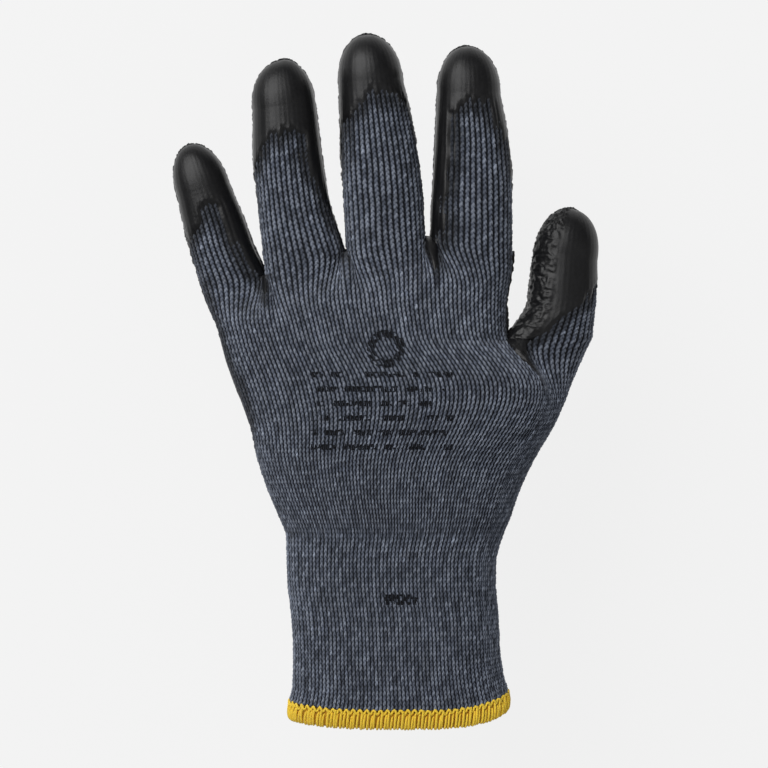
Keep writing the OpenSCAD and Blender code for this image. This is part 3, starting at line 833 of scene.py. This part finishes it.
def hand_column(finger, c):
    """The hand's loop column that a finger's loop column grows from."""
    back = c <= finger.wales
    under = 2 * HAND_WALES - (finger.first + 2 * finger.wales - c)
    return np.where(back, finger.first + c, under)


def finger_grid(finger, columns, each):
    """A finger's surface, rows from the tip to the root: points, outward directions, places in
    the hand's wales and courses, and how far inside the coating's edge each point is."""
    rows = steps(0, finger.rows, each)[::-1]
    c, row = np.meshgrid(columns, rows)
    points = finger.loop_point(c, row)
    place, course = hand_column(finger, c), finger.first_course - row
    depth = finger.film_depth(c, row) + ragged(place, course)
    below = hand_loop_point(hand_column(finger, columns), finger.first_course + 1 / each)
    out = normals(np.concatenate([points, below[None]]))[:-1]
    out[0] = [*finger.along, 0]
    return rows, c, points, out, place, course, depth


def add_finger(finger):
    """A finger's knit and coating, in segments that meet at its joints."""
    segments = bends_of(finger)
    shown = steps(0, finger.wales, STITCH_STEPS)
    hidden = steps(finger.wales, 2 * finger.wales, HIDDEN_STEPS)[1:]
    columns = np.concatenate([shown, hidden])
    rows, c, points, out, place, course, depth = finger_grid(finger, columns, STITCH_STEPS)
    knit, values = knit_surface(points, out, place, course, depth)
    add_segments(finger, segments, rows, knit, values, KNIT, "knit", "liner")

    columns = steps(0, 2 * finger.wales, FILM_STEPS)
    rows, c, points, out, place, course, depth = finger_grid(finger, columns, FILM_STEPS)
    film = film_surface(points, out, place, course, depth, wrinkled_at(finger, c))
    add_segments(finger, segments, rows, film, {}, RUBBER, "film", "coating", depth)


def add_segments(finger, segments, rows, points, values, material, kind, node, depth=None):
    cuts = cut_rows(finger, rows, segments)
    for segment, stop, start in zip(segments, cuts[:-1], cuts[1:]):
        part, _, bodies, begin, end = segment
        band = slice(start, stop + 1)
        keep = np.ones((stop - start, points.shape[1] - 1), bool)
        if depth is not None:
            keep = shown_faces(depth[band])
        found = {key: value[band] for key, value in values.items()}
        ends = bend_points(finger, begin, end)
        finish_piece(f"{finger.name}_{part}_{kind}", points[band], keep, material, found, None,
                     f"{finger.name}_{part}_{node}", (*bodies, *ends))


def shown_faces(depth):
    """The faces with a corner inside the coating's edge."""
    inside = depth > -2.0
    return inside[:-1, :-1] | inside[1:, :-1] | inside[:-1, 1:] | inside[1:, 1:]


def hand_grid(columns, rows, each):
    """Points and outward directions of the hand and the cuff, rows from the fingers to the hem."""
    c, row = np.meshgrid(columns, rows)
    points = hand_loop_point(c, row)
    points[..., 1] += hem_curl(points[..., 0]) * smooth((row - HEM_CURL_COURSE) / 16)
    folded = fold(columns, HAND_WALES)
    palm = folded <= PALM_WALES
    # Above the thumb's crotch the thumb's own wales go on up the thumb.
    upward = points.copy()
    high = (row < THUMB_COURSE) & (folded > PALM_WALES)[None, :]
    u = ((np.broadcast_to(folded, row.shape) - thumb.first) / thumb.wales)[high]
    on_back = (np.broadcast_to(columns, row.shape) <= HAND_WALES)[high]
    lifted = thumb.point(THUMB_COURSE - row[high], u, 1)
    lowered = thumb.point(THUMB_COURSE - row[high], u, -1)
    upward[high] = np.where(on_back[:, None], lifted, lowered)
    out = normals(with_roots(upward, columns, each))[1:]
    alone = normals(with_roots(points[:, palm], columns[palm], each))[1:]
    turn = smooth((rows - THUMB_COURSE) / 9)[:, None, None]
    out[:, palm] = mix(alone, out[:, palm], turn)
    depth = hand_film_depth(c, row, points) + ragged(c, row)
    return c, row, points, unit(out), folded, depth


def with_roots(points, columns, each):
    """The grid with one more row on top, from the roots of the fingers."""
    folded = np.minimum(fold(columns, HAND_WALES), PALM_WALES)
    back = base_ring(folded, 1, 1 / each)
    under = base_ring(folded, -1, 1 / each)
    top = np.where((columns <= HAND_WALES)[:, None], back, under)
    return np.concatenate([top[None], points])


def hand_film_depth(c, row, points):
    """How far inside the coating's edge a place on the hand is, in millimetres."""
    folded = fold(c, HAND_WALES)
    start = np.full(c.shape, -40.0)
    below = 1.7 * row
    for finger in ALL_FINGERS:
        local, inside = finger_column(finger, c)
        start[inside] = finger.film_depth(local, np.zeros(c.shape))[inside]
        if finger is thumb:
            below = np.where(inside, 1.5 * (row - THUMB_COURSE), below)
    for a, b in zip(FINGERS[:-1], FINGERS[1:]):
        inside = (folded > a.first + a.wales) & (folded < b.first)
        start[inside] = max(a.film_right[0], b.film_left[0]) + 1.0
    start = np.maximum(start, WEB_FILM - 1.4 * web_distance(folded))
    y = points[..., 1]
    left = curve(y, (-30, -18, 22, 33), (-3.0, 1.6, 1.8, 0.8))
    from_left = HAND_WALE * folded
    # Between the index finger and the thumb the palm ends at the last finger's wales.
    open_side = 1 - smooth((row - THUMB_COURSE + 8) / 6)
    from_right = HAND_WALE * (mix(HAND_WALES, PALM_WALES, open_side) - folded)
    on_back = np.maximum(start - 0.9 * below, left - from_left)
    under = np.minimum(left + from_left, from_right - mix(3.0, 5.5, open_side))
    under = np.minimum(np.maximum(start, 0) + 1.2 * below + 2, under)
    return np.where(c <= HAND_WALES, on_back, np.minimum(under, y - COAT_END))


def hem_curl(x):
    """How far the hem's ends curl up from its lowest line."""
    centre = WRIST[0] + 2.2
    left = np.clip((centre - x) / 38, 0, 1.1)
    right = np.clip((x - centre) / 38, 0, 1.1)
    return 2.0 * left ** 3 + 5.8 * right ** 4


def no_surface(row, folded):
    """The faces beyond the palm's wales and above the thumb's crotch, where the hand has none."""
    beyond = (folded[:-1] >= PALM_WALES - 0.01) & (folded[1:] >= PALM_WALES + 0.01)
    return (row[:-1, :-1] < THUMB_COURSE - 0.01) & beyond[None, :]


def row_at_height(points, y):
    """The row of a hand grid whose back crosses the height y in the middle of the hand."""
    return nearest(points[:, nearest(points[0, :, 0], WRIST[0]), 1], y)


def add_hand():
    """The knit of the hand and the cuff, in bands that meet where nothing bends.

    It returns the whole grid, for the print."""
    rows = np.concatenate([
        steps(0, HAND_COURSES, STITCH_STEPS),
        steps(HAND_COURSES, HAND_COURSES + CUFF_COURSES, CUFF_STEPS)[1:]])
    back = steps(0, HAND_WALES, STITCH_STEPS)
    under = steps(HAND_WALES, 2 * HAND_WALES, STITCH_STEPS)[1:]
    columns = np.concatenate([back, under])
    c, row, points, out, folded, depth = hand_grid(columns, rows, STITCH_STEPS)
    knit, values = knit_surface(points, out, c, row, depth)
    thumb_row = nearest(rows, THUMB_COURSE)
    bend_row, cuff_row = (row_at_height(points, WRIST_Y + d) for d in WRIST_BAND)
    last = len(rows) - 1
    middle_column = len(back) - 1
    # The palm's coarser grid ends at the wrist, so the finer one starts along its straight edges.
    last_column = len(columns) - 1
    corners = thinned(0, last_column - middle_column, PALM_THINNING)
    straighten(knit[bend_row, middle_column:], corners)
    palm_left = nearest(columns, PALM_WALES / 2)
    knuckle, heel = (0, thumb_row), (thumb_row, bend_row)
    wrist, cuff = (bend_row, cuff_row), (cuff_row, last)
    left, right = (0, palm_left), (palm_left, middle_column)
    back, palm = (0, middle_column), (middle_column, last_column)
    bend = ("hand", "cuff", *[(0.0, (WRIST_Y + d) * MM, WRIST[2] * MM) for d in WRIST_BEND])
    thin = PALM_THINNING
    empty = no_surface(row, folded)
    for name, lines, places, node, joint, step in (
            ("knuckle_knit_back", knuckle, back, "knuckle_liner", None, 1),
            ("knuckle_knit_palm", knuckle, palm, "knuckle_liner", None, thin),
            ("heel_knit_left", heel, left, "heel_liner", None, 1),
            ("heel_knit_right", heel, right, "heel_liner", None, 1),
            ("heel_knit_palm", heel, palm, "heel_liner", None, thin),
            ("wrist_knit_back", wrist, back, "rib_cuff", bend, 1),
            ("wrist_knit_palm", wrist, palm, "rib_cuff", bend, 1),
            ("cuff_knit_back", cuff, back, "rib_cuff", None, 1),
            ("cuff_knit_palm", cuff, palm, "rib_cuff", None, 1)):
        down, over = thinned(*lines, step), thinned(*places, step)
        grid = np.ix_(down, over)
        keep = ~empty[np.ix_(down[:-1], over[:-1])]
        found = {key: value[grid] for key, value in values.items()}
        body = "cuff" if node == "rib_cuff" else "hand"
        finish_piece(name, knit[grid], keep, KNIT, found, body, node, joint)
    return c, row, points, out, knit, values["relief"]


def straighten(line, corners):
    """Moves the points of a line onto the straight stretches between its corners."""
    places = np.arange(len(line))
    for axis in range(3):
        line[:, axis] = np.interp(places, corners, line[corners, axis])


def thinned(start, stop, step):
    """Every so many numbers from start to stop, both ends among them."""
    return np.unique(np.append(np.arange(start, stop, step), stop))


def add_hand_film():
    """The coating of the hand: all the palm, and what comes over its edges."""
    rows = steps(0, HAND_COURSES, FILM_STEPS)
    columns = steps(0, 2 * HAND_WALES, FILM_STEPS)
    c, row, points, out, folded, depth = hand_grid(columns, rows, FILM_STEPS)
    film = film_surface(points, out, c, row, depth, wrinkled_in_hand(c, row))
    keep = shown_faces(depth) & ~no_surface(row, folded)
    thumb_row = nearest(rows, THUMB_COURSE)
    for name, start, stop, node in (("knuckle_film", 0, thumb_row, "knuckle_coating"),
                                    ("heel_film", thumb_row, len(rows) - 1, "heel_coating")):
        band = slice(start, stop + 1)
        finish_piece(name, film[band], keep[start:stop], RUBBER, {}, "hand", node)


def tube(path, radius, around, sides):
    """Rings of points round a path. Each starts at the side that faces the direction around."""
    ahead = unit(np.gradient(path, axis=0))
    first = unit(around - (around * ahead).sum(-1, keepdims=True) * ahead)
    second = np.cross(ahead, first)
    angle = np.linspace(0, 2 * math.pi, sides + 1)[:, None]
    rings = first[:, None] * np.cos(angle) + second[:, None] * np.sin(angle)
    return path[:, None] + np.reshape(radius, (-1, 1, 1)) * rings


def add_threads(name, tubes, material, node):
    """One piece from many tubes that all have the same number of rings and sides."""
    rows, sides = tubes[0].shape[:2]
    points = np.concatenate(tubes)
    keep_above(points, WRAPS_LEAST)
    keep = np.ones((len(points) - 1, sides - 1), bool)
    keep[rows - 1::rows] = False
    finish_piece(name, points, keep, material, {}, "cuff", node)


def cuff_frame(c, y_of, outward):
    """Points that stand outward from the cuff's end at the heights y_of, and outward directions."""
    rows = np.full(c.shape, HAND_COURSES + CUFF_COURSES - 0.5)
    centre = hand_loop_point(c, rows)
    ahead = hand_loop_point((c + 0.5) % (2 * HAND_WALES), rows)
    behind = hand_loop_point((c - 0.5) % (2 * HAND_WALES), rows)
    along = ahead - behind
    along[..., 1] = 0
    along = unit(along)
    out = np.stack([-along[..., 2], 0 * along[..., 0], along[..., 0]], axis=-1)
    points = centre + outward[..., None] * out
    points[..., 1] = y_of + hem_curl(points[..., 0])
    return points, out


def loop_wales(count, start=0.0):
    """Wale numbers that stand evenly by length round the cuff's end, with its length."""
    c = np.linspace(0, 2 * HAND_WALES, 721)
    points, _ = cuff_frame(c, np.zeros(c.shape), np.zeros(c.shape))
    span = np.concatenate([[0], np.cumsum(np.linalg.norm(np.diff(points, axis=0), axis=-1))])
    wanted = (np.arange(count) + start) / count * span[-1]
    return np.interp(wanted % span[-1], span, c), span[-1]


def add_hem():
    """Yellow overlock: a bed of thread on the cuff's edge, darkened as painted shade between the
    wraps, wraps over it and a zigzag on top.
    """
    _, length = loop_wales(4)
    teeth = round(length / HEM_PITCH)
    # The section of the edge, from inside the cuff over the lip to the back of the knit.
    lip = np.array([(-1.3, HEM_HEIGHT), (-1.5, 3.2), (-1.1, 1.0), (0.0, 0.15), (1.0, 0.9), (1.35, 3.0),
                    (1.0, 5.2), (0.55, HEM_HEIGHT - 0.9)])
    c = np.concatenate([loop_wales(4 * teeth)[0], [2 * HAND_WALES]])
    ring = []
    for reach, up in lip:
        y = np.full(c.shape, HEM_END + 0.55 + 0.86 * up)
        ring.append(cuff_frame(c, y, np.full(c.shape, 0.5 * reach))[0])
    bed = np.stack(ring)[::-1]
    keep = np.ones((bed.shape[0] - 1, bed.shape[1] - 1), bool)
    keep_above(bed, BED_LEAST)
    # The bed's darker yellow is painted shade in the gaps between the wraps.
    finish_piece("hem_bed", bed, keep, SHADED_YELLOW_BED, {}, "cuff", "hem_overlock")

    wraps = []
    share = np.linspace(0, 1, 21)
    reach, up = (np.interp(share, np.linspace(0, 1, len(lip)), line) for line in lip.T)
    for part, (shift, top, radius) in enumerate(((0.0, 1.0, 0.52), (0.48, 0.78, 0.47))):
        places, _ = loop_wales(teeth, shift + 0.1)
        for i, place in enumerate(places):
            roll, roll_b = cell_noise(i, part, 41), cell_noise(i, part, 42)
            high = up * (top + 0.12 * (roll - 0.5))
            lean = (0.85 * share ** 2 - 0.35 + 0.5 * (roll_b - 0.5)) * HEM_PITCH / 2
            around = place + lean / length * 2 * HAND_WALES
            y = HEM_END + 0.35 + high + 0.25 * (roll - 0.5)
            path, out = cuff_frame(around % (2 * HAND_WALES), y, reach * (0.78 + 0.14 * roll))
            size = radius * (0.82 + 0.3 * roll_b) * (1 - 0.35 * share ** 6)
            wraps.append(tube(path, size, np.tile(out[10], (len(share), 1)), 7))
    add_threads("hem_wraps", wraps[:teeth], YELLOW, "hem_overlock")
    add_threads("hem_wraps_short", wraps[teeth:], YELLOW, "hem_overlock")

    # The looper thread runs in a zigzag along the wraps' upper ends.
    steps_each = 8
    count = steps_each * teeth
    places, _ = loop_wales(count)
    places = np.append(places, places[0])
    turn = np.arange(count + 1) / steps_each
    roll = cell_noise(np.floor(turn), 0 * turn, 43)
    y = HEM_END + HEM_HEIGHT - 0.9 + 0.75 * np.cos(2 * math.pi * turn) + 0.5 * (roll - 0.5)
    outward = 0.75 + 0.2 * np.sin(2 * math.pi * turn)
    path, _ = cuff_frame(places, y, outward)
    keep_above(path, LOOPER_LEAST)
    looper = tube(path, np.full(len(path), 0.4), np.tile([0.0, 1.0, 0.01], (len(path), 1)), 7)
    add_threads("hem_looper", [looper], YELLOW, "hem_overlock")


def add_elastic():
    """Elastic yarn laid in behind the cuff's stitches: rings inside the wall."""
    low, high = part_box("cuff_elastic")
    heights = np.linspace(low.y, high.y, ELASTIC_RINGS) / MM
    c = np.append(np.arange(0, 2 * HAND_WALES, 0.75), 2 * HAND_WALES)
    rings = []
    for y in heights:
        row = HAND_COURSES + (WRIST_Y - y) / (WRIST_Y - CUFF_END) * CUFF_COURSES
        ahead = hand_loop_point(np.minimum(c + 0.4, 2 * HAND_WALES), np.full(c.shape, row))
        behind = hand_loop_point(np.maximum(c - 0.4, 0), np.full(c.shape, row))
        path = hand_loop_point(c, np.full(c.shape, row))
        along = unit(ahead - behind)
        out = np.stack([-along[:, 2], 0 * along[:, 0], along[:, 0]], axis=-1)
        wave = 0.12 * np.cos(math.pi * c)
        path = path - (0.75 + wave)[:, None] * out
        path[..., 1] += 0.15 * np.sin(math.pi * c)
        rings.append(tube(path, np.full(len(path), 0.32), out, 6))
    add_threads("cuff_elastic_yarn", rings, ELASTIC, "cuff_elastic")


def within(points, low, high):
    return ((points[..., :2] > low[:2]) & (points[..., :2] < high[:2])).all(-1)


def add_prints(c, row, points, out, knit, relief):
    """Plain marks in the print's places: a ring, rows of bars and a tab, on top of the ridges."""
    inked = knit + 0.05 * out
    x, y = points[..., 0], points[..., 1]
    worn = cell_noise(2 * c, 2 * row, 52) < 0.14
    on_back = (c <= HAND_WALES) & (relief > 0.2) & ~worn
    low, high = np.array(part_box("print_mark")) / MM
    centre, half = (low + high) / 2, (high - low) / 2
    away = np.hypot((x - centre[0]) / half[0], (y - centre[1]) / half[1])
    ring = (away < 1.02) & (away > 0.52)
    low, high = np.array(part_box("print_lines")) / MM
    pitch = (high[1] - low[1] - PRINT_HEIGHT) / (PRINT_ROWS - 1)
    line = np.floor((y - low[1]) / pitch)
    gap = cell_noise(x / 2.3 + 7 * line, line, 51) < 0.22
    bars = ((y - low[1]) % pitch < PRINT_HEIGHT) & ~gap & within(points, low, high)
    low, high = np.array(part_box("print_wrist")) / MM
    tab = within(points, low, high)
    for name, shape, node, body in (("print_ring", ring, "print_mark", "hand"),
                                    ("print_bars", bars, "print_lines", "hand"),
                                    ("print_tab", tab, "print_wrist", "cuff")):
        shape = shape & on_back
        keep = shape[:-1, :-1] & shape[1:, 1:] & shape[1:, :-1] & shape[:-1, 1:]
        finish_piece(name, inked, keep, INK, {}, body, node)


for finger in ALL_FINGERS:
    add_finger(finger)
add_prints(*add_hand())
add_hand_film()
add_hem()
add_elastic()


# ---- Stage ----
def add_stage():
    """A pale floor that glows a little, so that it is as light as the photograph's background."""
    floor = bpy.data.meshes.new("floor")
    corners = [(x * FLOOR_REACH, y * FLOOR_REACH, 0) for x, y in ((-1, -1), (1, -1), (1, 1), (-1, 1))]
    floor.from_pydata(corners, [], [(0, 1, 2, 3)])
    material, _, shader = shade_nodes("pale_floor", 0.9, Specular_IOR_Level=0.0)
    shader.inputs["Base Color"].default_value = (*[FLOOR_GREY] * 3, 1)
    shader.inputs["Emission Color"].default_value = (1, 1, 1, 1)
    shader.inputs["Emission Strength"].default_value = FLOOR_GLOW
    floor.materials.append(material)
    piece = add_object("floor", floor)
    piece.location = (0, 0, -FLOOR_DROP)


def add_light(name, place, size, power):
    data = bpy.data.lights.new(name, "AREA")
    data.shape = "DISK"
    data.size = size
    data.energy = power
    light = add_object(name, data)
    light.location = place
    light.rotation_euler = (-light.location.normalized()).to_track_quat("-Z", "Y").to_euler()


def add_world():
    world = bpy.data.worlds.new("soft_box")
    world.use_nodes = True
    world.node_tree.nodes["Background"].inputs["Color"].default_value = (1, 1, 1, 1)
    world.node_tree.nodes["Background"].inputs["Strength"].default_value = WORLD_STRENGTH
    bpy.context.scene.world = world


def add_camera():
    """A long lens that looks straight down on the back of the glove."""
    data = bpy.data.cameras.new("camera")
    data.lens = CAMERA_LENS
    data.sensor_width = SENSOR_WIDTH
    camera = add_object("camera", data)
    camera.location = (*VIEW_CENTRE, CAMERA_HEIGHT)
    bpy.context.scene.camera = camera


bpy.context.scene.view_settings.view_transform = "Standard"
add_stage()
add_world()
for light in LIGHTS:
    add_light(*light)
add_camera()
